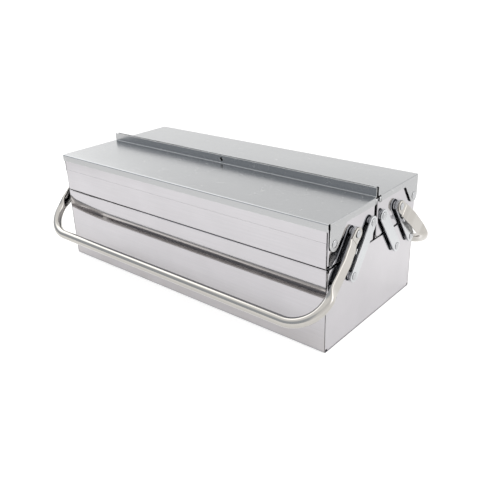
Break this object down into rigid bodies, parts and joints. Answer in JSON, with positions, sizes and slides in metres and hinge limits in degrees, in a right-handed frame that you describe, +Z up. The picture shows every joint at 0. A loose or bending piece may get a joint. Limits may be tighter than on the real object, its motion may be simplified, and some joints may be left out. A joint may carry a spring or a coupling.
{
  "type": "cantilever tool box",
  "caption": "Bright sheet-steel cantilever tool box: open base, lidded trays that swing out on parallel links, and folding tube carrying handles.",
  "frame": {"origin": "middle of the underside of the closed box, on the surface it stands on", "axes": "+X along the length to the right end, +Y to the rear, +Z up; the front faces -Y"},
  "size_m": [0.4816, 0.2888, 0.1655],
  "materials": {
    "panel_steel": "bright zinc-coated sheet steel, smooth and mirror-like",
    "lid_steel": "bright zinc-coated sheet steel, satin reflections",
    "link_steel": "bright zinc-plated strip",
    "handle_steel": "polished nickel-plated tube",
    "rivet_steel": "bright zinc-plated rivet"
  },
  "bodies": {
    "base": {"base_shell": "panel_steel", "base_end_left": "panel_steel", "base_end_right": "panel_steel", "base_link_rivets": "rivet_steel", "base_link_spacers": "rivet_steel"},
    "front_outer_links": {"front_outer_link_left": "link_steel", "front_outer_link_right": "link_steel"},
    "front_inner_links": {"front_inner_link_left": "link_steel", "front_inner_link_right": "link_steel"},
    "front_tray": {"front_tray_shell": "panel_steel", "front_tray_end_left": "panel_steel", "front_tray_end_right": "panel_steel", "front_link_rivets": "rivet_steel", "front_handle_rivets": "rivet_steel", "front_lid_rivets": "rivet_steel", "front_link_spacers": "rivet_steel", "front_lid_spacers": "rivet_steel"},
    "front_lid_body": {"front_lid": "lid_steel"},
    "front_handle": {"front_handle_grip": "handle_steel", "front_handle_arm_left": "handle_steel", "front_handle_arm_right": "handle_steel"},
    "rear_outer_links": {"rear_outer_link_left": "link_steel", "rear_outer_link_right": "link_steel"},
    "rear_inner_links": {"rear_inner_link_left": "link_steel", "rear_inner_link_right": "link_steel"},
    "rear_tray": {"rear_tray_shell": "panel_steel", "rear_tray_end_left": "panel_steel", "rear_tray_end_right": "panel_steel", "rear_link_rivets": "rivet_steel", "rear_handle_rivets": "rivet_steel", "rear_lid_rivets": "rivet_steel", "rear_link_spacers": "rivet_steel", "rear_lid_spacers": "rivet_steel"},
    "rear_lid_body": {"rear_lid": "lid_steel"},
    "rear_handle": {"rear_handle_grip": "handle_steel", "rear_handle_arm_left": "handle_steel", "rear_handle_arm_right": "handle_steel"}
  },
  "joints": [
    {"name": "front_tray_swing", "type": "hinge", "parent": "base", "child": "front_outer_links", "pos_m": [0, -0.0876, 0.0767], "axis": [1, 0, 0], "range_deg": [0, 71.9]},
    {"name": "front_inner_link_swing", "type": "hinge", "parent": "base", "child": "front_inner_links", "pos_m": [0, -0.05, 0.0767], "axis": [1, 0, 0], "range_deg": [0, 71.9]},
    {"name": "front_tray_level", "type": "hinge", "parent": "front_outer_links", "child": "front_tray", "pos_m": [0, -0.05, 0.1285], "axis": [1, 0, 0], "range_deg": [-71.9, 0]},
    {"name": "front_lid_hinge", "type": "hinge", "parent": "front_tray", "child": "front_lid_body", "pos_m": [0, -0.09, 0.13], "axis": [1, 0, 0], "range_deg": [0, 110]},
    {"name": "front_handle_hinge", "type": "hinge", "parent": "front_tray", "child": "front_handle", "pos_m": [0, -0.05, 0.1285], "axis": [-1, 0, 0], "range_deg": [0, 150]},
    {"name": "rear_tray_swing", "type": "hinge", "parent": "base", "child": "rear_outer_links", "pos_m": [0, 0.0876, 0.0767], "axis": [-1, 0, 0], "range_deg": [0, 71.9]},
    {"name": "rear_inner_link_swing", "type": "hinge", "parent": "base", "child": "rear_inner_links", "pos_m": [0, 0.05, 0.0767], "axis": [-1, 0, 0], "range_deg": [0, 71.9]},
    {"name": "rear_tray_level", "type": "hinge", "parent": "rear_outer_links", "child": "rear_tray", "pos_m": [0, 0.05, 0.1285], "axis": [-1, 0, 0], "range_deg": [-71.9, 0]},
    {"name": "rear_lid_hinge", "type": "hinge", "parent": "rear_tray", "child": "rear_lid_body", "pos_m": [0, 0.09, 0.13], "axis": [-1, 0, 0], "range_deg": [0, 110]},
    {"name": "rear_handle_hinge", "type": "hinge", "parent": "rear_tray", "child": "rear_handle", "pos_m": [0, 0.05, 0.1285], "axis": [1, 0, 0], "range_deg": [0, 150]}
  ],
  "couplings": [
    {"joint": "front_inner_link_swing", "follows": "front_tray_swing", "ratio": 1},
    {"joint": "front_tray_level", "follows": "front_tray_swing", "ratio": -1},
    {"joint": "rear_inner_link_swing", "follows": "rear_tray_swing", "ratio": 1},
    {"joint": "rear_tray_level", "follows": "rear_tray_swing", "ratio": -1}
  ]
}
